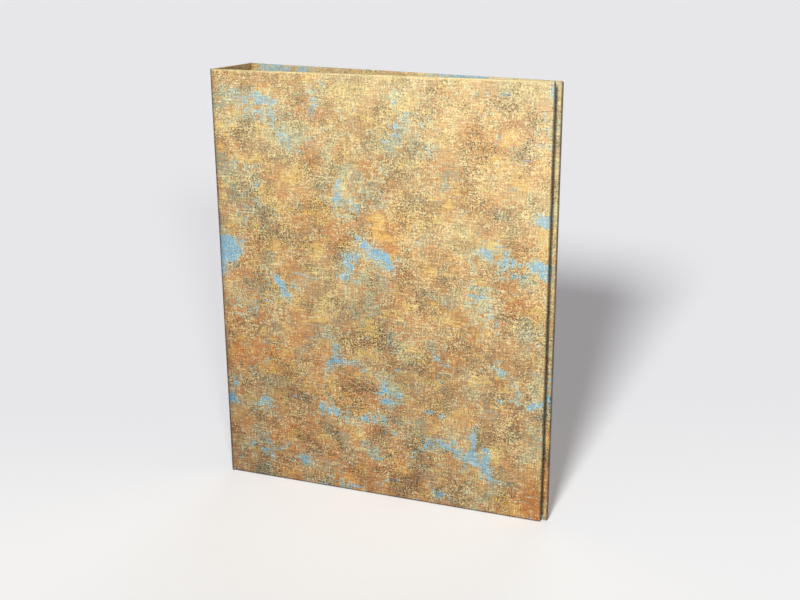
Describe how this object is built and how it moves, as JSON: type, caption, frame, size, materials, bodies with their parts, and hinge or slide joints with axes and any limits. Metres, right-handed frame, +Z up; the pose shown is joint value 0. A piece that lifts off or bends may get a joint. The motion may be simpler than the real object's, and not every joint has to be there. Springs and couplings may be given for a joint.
{
  "type": "ring binder",
  "caption": "Ring binder for A4 sheets: wrapped boards with folding covers and a ring mechanism riveted inside the spine.",
  "frame": {"origin": "middle of the spine panel's lower end face, between its faces and on the spine's centre line", "axes": "+Z up along the spine, +X from the spine to the fore edge, +Y from the front cover to the back cover"},
  "size_m": [0.2574, 0.0488, 0.32],
  "materials": {
    "printed_covering": "matte",
    "lining_paper": "matte",
    "nickel": "satin",
    "bright_nickel": "polished"
  },
  "bodies": {
    "spine": {"spine_panel": "printed_covering", "spine_lining": "lining_paper", "front_fold": "printed_covering", "back_fold": "printed_covering", "ring_shield": "nickel", "rivet_lower": "nickel", "rivet_upper": "nickel", "trigger_pin_lower": "nickel", "trigger_pin_upper": "nickel"},
    "front_cover": {"front_cover": "printed_covering", "front_lining": "lining_paper"},
    "back_cover": {"back_cover": "printed_covering", "back_lining": "lining_paper"},
    "front_rings": {"blade_front": "nickel", "ring_front_1": "bright_nickel", "ring_front_2": "bright_nickel", "ring_front_3": "bright_nickel", "ring_front_4": "bright_nickel"},
    "back_rings": {"blade_back": "nickel", "ring_back_1": "bright_nickel", "ring_back_2": "bright_nickel", "ring_back_3": "bright_nickel", "ring_back_4": "bright_nickel"},
    "trigger_lower": {"trigger_lower": "bright_nickel"},
    "trigger_upper": {"trigger_upper": "bright_nickel"}
  },
  "joints": [
    {"name": "front_cover_hinge", "type": "hinge", "parent": "spine", "child": "front_cover", "pos_m": [-0.00055, -0.0238, 0], "axis": [0, 0, -1], "range_deg": [0, 180], "deforming": ["front_fold"]},
    {"name": "back_cover_hinge", "type": "hinge", "parent": "spine", "child": "back_cover", "pos_m": [-0.00055, 0.0238, 0], "axis": [0, 0, 1], "range_deg": [0, 180], "deforming": ["back_fold"]},
    {"name": "front_rings_hinge", "type": "hinge", "parent": "spine", "child": "front_rings", "pos_m": [0.00405, -0.0094, 0.16], "axis": [0, 0, -1], "range_deg": [0, 11]},
    {"name": "back_rings_hinge", "type": "hinge", "parent": "spine", "child": "back_rings", "pos_m": [0.00405, 0.0094, 0.16], "axis": [0, 0, 1], "range_deg": [0, 11]},
    {"name": "trigger_lower_pivot", "type": "hinge", "parent": "spine", "child": "trigger_lower", "pos_m": [0.00435, 0, 0.022], "axis": [0, 1, 0], "range_deg": [0, 18.15]},
    {"name": "trigger_upper_pivot", "type": "hinge", "parent": "spine", "child": "trigger_upper", "pos_m": [0.00435, 0, 0.298], "axis": [0, -1, 0], "range_deg": [0, 18.15]}
  ],
  "couplings": [
    {"joint": "back_rings_hinge", "follows": "front_rings_hinge", "ratio": 1},
    {"joint": "trigger_lower_pivot", "follows": "front_rings_hinge", "ratio": 1.65},
    {"joint": "trigger_upper_pivot", "follows": "front_rings_hinge", "ratio": 1.65}
  ]
}
